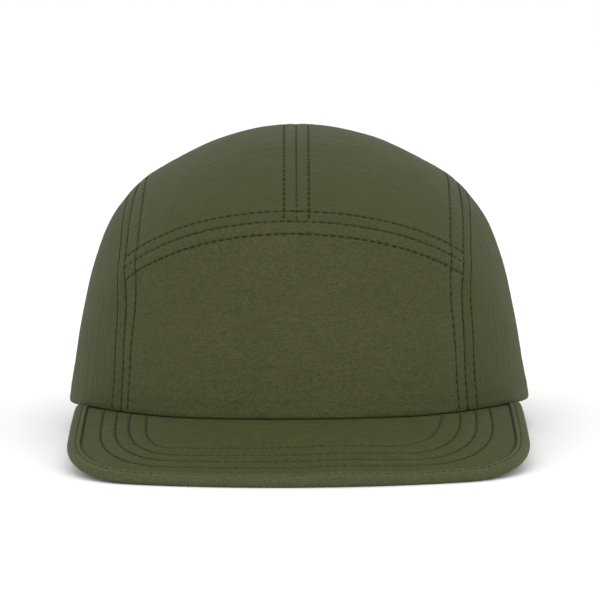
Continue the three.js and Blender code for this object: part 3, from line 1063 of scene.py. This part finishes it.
def buildStrap():
    reach = (crown["openingHalfWidth"] + strap["overlap"]) / crown["halfWidth"]
    middle = crown["wall"] + strap["clearance"] + strap["thickness"] / 2
    turns = np.linspace(0, 2 * math.pi, strap["around"] + 1)[:-1]
    up = squareWave(np.sin(turns), strap["squareUp"])
    off = squareWave(np.cos(turns), strap["squareOff"])
    out = np.linspace(-reach, reach, strap["stations"])
    height = strap["aboveHem"] + strap["width"] / 2 * (1 + up)
    out, height = out[:, None] + 0 * height, height[None, :] + 0 * out[:, None]
    over = 180 - np.degrees(np.arcsin(height / crown["height"] / np.sqrt(1 - out ** 2)))
    surface, normal = crownSurface(direction(out, over))
    rib = np.cos(out * crown["halfWidth"] * 2 * math.pi / strap["ribPitch"]) * strap["ribRise"]
    thick = (strap["thickness"] / 2 - strap["ribRise"] + rib) * off[None, :]
    points = surface - normal * (middle - thick)[..., None]
    made = meshObject("back_strap_webbing", points.reshape(-1, 3), tubeFaces(*points.shape[:2]))
    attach(made, "root")
    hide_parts("back_strap")
    print("strap built,", len(made.data.polygons), "faces")


buildStrap()

# One stitch: places along it, how high its middle lies there, and its thickness
stitch = {
    "sides": 6,
    "along": np.array([0.0, 0.12, 0.3, 0.5, 0.7, 0.88, 1.0]),
    "rise": np.array([-0.34, -0.02, 0.13, 0.17, 0.13, -0.02, -0.34]),
    "girth": np.array([0.7, 0.95, 1, 1, 1, 0.95, 0.7]),
    "uneven": (-0.3, 0.12),  # its tone differs from its neighbours' by this
}


# Stitches: short threads that lie in the groove of their row and dive into the cloth at its ends;
# `dark` paints shade on them, varied at random from stitch to stitch
def stitchMesh(name, tracks, dark, thread=sewing["thread"]):
    random = np.random.default_rng(len(name) * 7)
    turns = np.linspace(0, 2 * math.pi, stitch["sides"], endpoint=False)
    tube = tubeFaces(len(stitch["along"]), stitch["sides"])
    corners, middle = len(stitch["along"]) * stitch["sides"], len(stitch["along"]) // 2
    points, shades = [], []
    for track, normals in tracks:
        along = pathLength(track)
        count = int(along[-1] / sewing["pitch"])
        if count < 1:
            continue
        starts = np.arange(count) * sewing["pitch"] + sewing["open"]
        at = starts[:, None] + stitch["along"] * (sewing["pitch"] - 2 * sewing["open"])
        centre = np.stack([np.interp(at, along, track[:, i]) for i in range(3)], -1)
        normal = unit(np.stack([np.interp(at, along, normals[:, i]) for i in range(3)], -1))
        beside = unit(np.cross(unit(np.gradient(centre, axis=1)), normal))
        centre = centre + normal * stitch["rise"][:, None]
        ring = (np.cos(turns)[:, None] * beside[:, :, None, :]
                + np.sin(turns)[:, None] * normal[:, :, None, :])
        girth = stitch["girth"] * thread
        points.append((centre[:, :, None, :] + ring * girth[:, None, None]).reshape(-1, 3))
        tone = dark(centre[:, middle]) if callable(dark) else np.full(count, dark)
        tone = np.clip(tone + random.uniform(*stitch["uneven"], count), 0, 1)
        shades.append(np.repeat(tone, corners))
    points = np.concatenate(points)
    faces = [[start + corner for corner in face]
             for start in range(0, len(points), corners) for face in tube]
    made = meshObject(name, points, faces, np.concatenate(shades))
    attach(made, "root")
    print(name, "sewn,", len(faces), "faces")


def crownTrack(rowName, kind, seamNames, rowNames):
    surface, normal = crownSurface(onCrown(rows[rowName]["points"]))
    relief, _ = crownRelief(surface, seamNames, rowNames, panels[kind], holes=False)
    return raiseHem(surface + normal * relief[:, None]), normal


# The crown's threads carry painted shade, darkest on the seam lines, where it stands for the shadow in
# the seam's ditch
for word in ("left", "right"):
    inner, outer = f"{word}Inner", f"{word}Outer"
    stitchMesh(f"side_seam_{word}_stitching", [
        crownTrack(inner, "top_panel", [word, "arch"], [inner, "archUpper", "archLower"]),
        crownTrack(outer, "side_panel", [word], [outer])], dark=0.9)
    stitchMesh(f"seam_line_{word}_stitching", [crownTrack(word, "side_panel", [word], [])],
               dark=1.0, thread=sewing["seamThread"])
stitchMesh("arch_seam_stitching", [
    crownTrack("archUpper", "top_panel", ["arch", "left", "right", "centre"],
               ["archUpper", "leftInner", "rightInner"]),
    crownTrack("archLower", "front_panel", ["arch", "left", "right"],
               ["archLower", "leftInner", "rightInner"])], dark=0.9)
stitchMesh("centre_seam_stitching", [
    crownTrack(name, "top_panel", ["centre", "arch", "opening"], [name, "archUpper"])
    for name in ("centreLeft", "centreRight")], dark=0.95)
stitchMesh("seam_line_top_stitching", [
    crownTrack(name, "top_panel", [name], []) for name in ("arch", "centre")],
    dark=0.8, thread=sewing["fineThread"])
stitchMesh("opening_stitching", [
    crownTrack("opening", "top_panel", ["opening", "centre"], ["opening"])], dark=0.8)

# Painted shade on the brim's threads: little along its front, where they catch the light, more at its
# sides
paintedBrimThreadShade = {
    "frontDark": 0.1,
    "sideDarker": 0.8,
    "sidesFrom": (38, 62),
}


def brimThreadPaintedShade(places):
    aside = smooth(np.abs(places[:, 0]), *paintedBrimThreadShade["sidesFrom"])
    return paintedBrimThreadShade["frontDark"] + paintedBrimThreadShade["sideDarker"] * aside


# Places on the upper or lower face of the brim, and the way off it
def brimTrack(x, y, sign, rise):
    surface, normal = brimSurface(x, y)
    top, bottom = boardFaces(x, y)
    above = top + rise if sign > 0 else bottom - rise
    return surface + normal * above[:, None], normal * sign


def rowTracks(curve):
    x, y = curve["points"][:, 0], curve["points"][:, 1]
    relief, _ = brimRelief(x, y, holes=False)
    return [brimTrack(x, y, sign, relief) for sign in (1, -1)]


def bindingTracks():
    line = evenLine(brimLine(0, bindingSize["shortest"]), bindingSize["rowSpacing"], bindingSize["taper"])
    inset = bindingSize["rowShare"] * bindingSize["width"]
    x, y = line[:, 0] - inset * line[:, 2], line[:, 1] - inset * line[:, 3]
    return [brimTrack(x, y, sign, brim["lip"] - bindingSize["rowSunk"]) for sign in (1, -1)]


stitchMesh("brim_stitching", sum((rowTracks(curve) for curve in brimRowCurves), []), brimThreadPaintedShade)
stitchMesh("binding_stitching", bindingTracks(), brimThreadPaintedShade, thread=sewing["fineThread"])


# Node groups that more than one material uses
def newGroup(name, inputs, outputs):
    group = bpy.data.node_groups.new(name, "ShaderNodeTree")
    for label, kind, value in inputs:
        socket = group.interface.new_socket(name=label, in_out="INPUT", socket_type=kind)
        if value is not None:
            socket.default_value = value
    for label, kind in outputs:
        group.interface.new_socket(name=label, in_out="OUTPUT", socket_type=kind)
    return group, group.nodes.new("NodeGroupInput"), group.nodes.new("NodeGroupOutput")


def addNode(tree, kind, values=None, **settings):
    node = tree.nodes.new(kind)
    for key, value in settings.items():
        setattr(node, key, value)
    for key, value in (values or {}).items():
        node.inputs[key].default_value = value
    return node


# Links, each as a node, its output, the next node and its input
def connect(tree, *links):
    for start, out, end, into in links:
        tree.links.new(start.outputs[out], end.inputs[into])


# Noise folded at its middle value, so that it has sharp creases, and a mask of its high places
def makeCrinkleGroup():
    group, source, result = newGroup(
        "crinkledNylon",
        [("Place", "NodeSocketVector", None), ("Stretch", "NodeSocketVector", (1, 1, 1)),
         ("Scale", "NodeSocketFloat", 1.0)],
        [("Height", "NodeSocketFloat"), ("Mask", "NodeSocketFloat")])
    stretch = addNode(group, "ShaderNodeVectorMath", operation="MULTIPLY")
    broad = addNode(group, "ShaderNodeTexNoise", {"Detail": 5.0, "Roughness": 0.62})
    mask = addNode(group, "ShaderNodeMapRange", {"From Min": 0.36, "From Max": 0.64})
    creased = addNode(group, "ShaderNodeMath", {1: 0.5}, operation="SUBTRACT")
    folded = addNode(group, "ShaderNodeMath", operation="ABSOLUTE")
    joined = addNode(group, "ShaderNodeMath", {1: -1.6, 2: 1.0}, operation="MULTIPLY_ADD")
    connect(group,
            (source, "Place", stretch, 0),
            (source, "Stretch", stretch, 1),
            (source, "Scale", broad, "Scale"),
            (stretch, 0, broad, "Vector"),
            (broad, "Fac", creased, 0),
            (creased, 0, folded, 0),
            (folded, 0, joined, 0),
            (joined, 0, result, "Height"),
            (broad, "Fac", mask, "Value"),
            (mask, "Result", result, "Mask"))
    return group


# How much clouds, creases and the cloth's fine grain each take part in its tone
toneShares = {
    "clouds": 0.22,
    "creases": 0.24,
    "grain": 0.54,
}
paintedShadeTone = (0.2, 0.21, 0.2)      # painted shade of the stitching darkens the colour to this share where it is full


# The cloth's colour: its two tones mixed by clouds, creases and grain, then darkened by the painted shade
# of its stitching
def makeToneGroup():
    group, source, result = newGroup(
        "toneAndPaintedShade",
        [("Place", "NodeSocketVector", None), ("Deep", "NodeSocketColor", (0, 0, 0, 1)),
         ("Light", "NodeSocketColor", (1, 1, 1, 1)), ("Crease", "NodeSocketFloat", 0.0),
         ("Stitch", "NodeSocketFloat", 0.0)],
        [("Color", "NodeSocketColor"), ("Roughness", "NodeSocketFloat")])
    cloudy = addNode(group, "ShaderNodeTexNoise", {"Scale": 26.0, "Detail": 3.0})
    grain = addNode(group, "ShaderNodeTexNoise", {"Scale": 1500.0, "Detail": 2.0})
    sharp = addNode(group, "ShaderNodeMapRange", {"From Min": 0.34, "From Max": 0.66})
    clouds, creases, fine = (
        addNode(group, "ShaderNodeMath", {1: toneShares[name]}, operation="MULTIPLY")
        for name in ("clouds", "creases", "grain"))
    first = addNode(group, "ShaderNodeMath", operation="ADD")
    second = addNode(group, "ShaderNodeMath", operation="ADD")
    blend = addNode(group, "ShaderNodeMix", data_type="RGBA")
    darken = addNode(group, "ShaderNodeMix", {7: (*paintedShadeTone, 1)}, data_type="RGBA",
                     blend_type="MULTIPLY")
    rough = addNode(group, "ShaderNodeMapRange", {"To Min": 0.6, "To Max": 0.82})
    connect(group,
            (source, "Place", cloudy, "Vector"),
            (source, "Place", grain, "Vector"),
            (grain, "Fac", sharp, "Value"),
            (cloudy, "Fac", clouds, 0),
            (source, "Crease", creases, 0),
            (sharp, "Result", fine, 0),
            (clouds, 0, first, 0),
            (creases, 0, first, 1),
            (first, 0, second, 0),
            (fine, 0, second, 1),
            (second, 0, blend, 0),
            (source, "Deep", blend, 6),
            (source, "Light", blend, 7),
            (source, "Stitch", darken, 0),
            (blend, 2, darken, 6),
            (darken, 2, result, "Color"),
            (second, 0, rough, "Value"),
            (rough, 0, result, "Roughness"))
    return group


crinkleGroup = makeCrinkleGroup()
toneGroup = makeToneGroup()

# Finishes: two tones in linear colour, how the crinkle runs, and its depth. The crown, side, top and brim
# pieces and the binding are one olive nylon; their tones are set piece by piece to how light falls on
# each,
# painted light and shade: lighter on the front panel and the binding, darker on the sides, top and brim
finishes = {
    "crownCloth": {"deep": (0.0325, 0.0345, 0.0122), "light": (0.0770, 0.0795, 0.0310),
                   "stretch": (0.42, 0.42, 1.0), "scale": 900.0, "crinkle": 0.8, "weave": 0.4},
    # painted shade: the side panels, of the same cloth, are toned darker and less blue
    "sideCloth": {"deep": (0.0300, 0.0322, 0.0096), "light": (0.0635, 0.0670, 0.0218),
                  "stretch": (1.0, 1.0, 0.35), "scale": 620.0, "crinkle": 0.9, "weave": 0.35},
    "topCloth": {"deep": (0.0345, 0.0375, 0.0125), "light": (0.0632, 0.0675, 0.0250),
                 "stretch": (0.3, 1.0, 1.0), "scale": 460.0, "crinkle": 0.75, "weave": 0.25},
    "brimCloth": {"deep": (0.0290, 0.0312, 0.0086), "light": (0.0660, 0.0695, 0.0210),
                  "stretch": (0.35, 1.0, 1.0), "scale": 460.0, "crinkle": 0.5, "weave": 0.3},
    "webbing": {"deep": (0.026, 0.028, 0.011), "light": (0.043, 0.046, 0.018),
                "stretch": (1.0, 1.0, 1.0), "scale": 800.0, "crinkle": 0.3, "weave": 0.3},
    # painted light: the binding, of the same cloth, is toned lighter
    "bindingCloth": {"deep": (0.0415, 0.0445, 0.0180), "light": (0.0855, 0.0900, 0.0400),
                     "stretch": (1.0, 1.0, 1.0), "scale": 520.0, "crinkle": 0.6, "weave": 0.3},
    "thread": {"deep": (0.032, 0.033, 0.0125), "light": (0.085, 0.086, 0.038),
               "stretch": (1.0, 1.0, 1.0), "scale": 1500.0, "crinkle": 0.3, "weave": 0.2},
}
# What all of them share: a faint sheen, little gloss and a fine weave
clothShader = {
    "Sheen Weight": 0.05,
    "Sheen Roughness": 0.45,
    "Sheen Tint": (0.62, 0.66, 0.5, 1),
    "Specular IOR Level": 0.13,
}
clothBump = {
    "crinkleDistance": 0.0006,
    "weaveDistance": 0.0002,
    "weaveScale": 2600.0,
}


def clothMaterial(name):
    look = finishes[name]
    material = bpy.data.materials.new(name)
    material.use_nodes = True
    tree = material.node_tree
    shader = tree.nodes["Principled BSDF"]
    for socket, value in clothShader.items():
        shader.inputs[socket].default_value = value
    place = addNode(tree, "ShaderNodeTexCoord")
    # the painted shade of the stitching, read from each mesh
    stitched = addNode(tree, "ShaderNodeAttribute", attribute_name="paintedStitchShade")
    crinkle = addNode(tree, "ShaderNodeGroup", node_tree=crinkleGroup)
    crinkle.inputs["Stretch"].default_value = look["stretch"]
    crinkle.inputs["Scale"].default_value = look["scale"]
    tone = addNode(tree, "ShaderNodeGroup", node_tree=toneGroup)
    tone.inputs["Deep"].default_value = (*look["deep"], 1)
    tone.inputs["Light"].default_value = (*look["light"], 1)
    weave = addNode(tree, "ShaderNodeTexNoise", {"Scale": clothBump["weaveScale"], "Detail": 2.0})
    bump = addNode(tree, "ShaderNodeBump",
                   {"Strength": look["crinkle"], "Distance": clothBump["crinkleDistance"]})
    fineBump = addNode(tree, "ShaderNodeBump",
                       {"Strength": look["weave"], "Distance": clothBump["weaveDistance"]})
    connect(tree,
            (place, "Object", crinkle, "Place"),
            (place, "Object", tone, "Place"),
            (place, "Object", weave, "Vector"),
            (crinkle, "Mask", tone, "Crease"),
            (stitched, "Fac", tone, "Stitch"),
            (tone, "Color", shader, "Base Color"),
            (tone, "Roughness", shader, "Roughness"),
            (crinkle, "Height", bump, "Height"),
            (weave, "Fac", fineBump, "Height"),
            (bump, "Normal", fineBump, "Normal"),
            (fineBump, "Normal", shader, "Normal"))
    return material


materials = {name: clothMaterial(name) for name in finishes}

# Finish and slot of each piece, by the start of its name
clothOf = {
    "front_panel": ("crownCloth", "crown_cloth"),
    "side_panel": ("sideCloth", "crown_cloth"),
    "top_panel": ("topCloth", "top_cloth"),
    "brim_binding": ("bindingCloth", "brim_cloth"),
    "brim": ("brimCloth", "brim_cloth"),
    "back_strap": ("webbing", "strap_webbing"),
}
threadOf = {
    "side_seam": ("thread", "crown_cloth"),
    "arch_seam": ("thread", "crown_cloth"),
    "centre_seam": ("thread", "top_cloth"),
    "seam_line": ("thread", "top_cloth"),
    "opening": ("thread", "top_cloth"),
    "brim": ("thread", "brim_cloth"),
    "binding": ("thread", "brim_cloth"),
}
for name, made in built.items():
    looks = threadOf if name.endswith("stitching") else clothOf
    finish, slotName = next(pair for start, pair in looks.items() if name.startswith(start))
    made.data.materials.append(materials[finish])
print("materials made")

# A pale floor and soft studio light
studio = {
    "floorHalf": 40.0,
    "floorColor": (0.95, 0.95, 0.95, 1),
    "floorRoughness": 0.9,
    "worldColor": (1, 1, 1, 1),
    "worldStrength": 1.04,
}
lamps = [
    {"name": "topSoftbox", "at": (0.0, -0.35, 1.5), "aim": (0, 0.02, 0.05), "size": 1.5, "power": 4},
    {"name": "frontLeft", "at": (-1.1, -1.6, 0.4), "aim": (0, 0, 0.03), "size": 1.1, "power": 6},
    {"name": "frontRight", "at": (1.1, -1.6, 0.4), "aim": (0, 0, 0.03), "size": 1.1, "power": 7},
]


def buildStudio():
    half = studio["floorHalf"]
    corners = [(-half, -half, 0), (half, -half, 0), (half, half, 0), (-half, half, 0)]
    mesh = bpy.data.meshes.new("floor")
    mesh.from_pydata(corners, [], [(0, 1, 2, 3)])
    floor = bpy.data.objects.new("floor", mesh)
    bpy.context.scene.collection.objects.link(floor)
    paint = bpy.data.materials.new("paleFloor")
    paint.use_nodes = True
    finish = paint.node_tree.nodes["Principled BSDF"]
    finish.inputs["Base Color"].default_value = studio["floorColor"]
    finish.inputs["Roughness"].default_value = studio["floorRoughness"]
    mesh.materials.append(paint)
    world = bpy.data.worlds.new("studio")
    world.use_nodes = True
    glow = world.node_tree.nodes["Background"]
    glow.inputs["Color"].default_value = studio["worldColor"]
    glow.inputs["Strength"].default_value = studio["worldStrength"]
    bpy.context.scene.world = world
    for lamp in lamps:
        light = bpy.data.lights.new(lamp["name"], "AREA")
        light.size = lamp["size"]
        light.energy = lamp["power"]
        made = bpy.data.objects.new(lamp["name"], light)
        made.location = lamp["at"]
        way = Vector(lamp["aim"]) - Vector(lamp["at"])
        made.rotation_euler = way.to_track_quat("-Z", "Y").to_euler()
        bpy.context.scene.collection.objects.link(made)


buildStudio()
print("studio lit")

# The photograph's view: a long lens from 1.6 m away, slightly above the cap
camera = {
    "aim": (0.0006, 0.02834, 0.04787),
    "elevation": math.radians(7.058),
    "distance": 1.6,
    "lens": 247.44,
    "sensor": 36.0,
    "roll": math.radians(0.4),
}
lensData = bpy.data.cameras.new("photoCamera")
lensData.lens = camera["lens"]
lensData.sensor_width = camera["sensor"]
photoCamera = bpy.data.objects.new("photoCamera", lensData)
sight = Vector((0, math.cos(camera["elevation"]), -math.sin(camera["elevation"])))
photoCamera.location = Vector(camera["aim"]) - sight * camera["distance"]
upright = sight.to_track_quat("-Z", "Y")
photoCamera.rotation_euler = (upright @ Quaternion((0, 0, 1), -camera["roll"])).to_euler()
bpy.context.scene.collection.objects.link(photoCamera)
bpy.context.scene.camera = photoCamera
bpy.context.scene.view_settings.view_transform = "Standard"
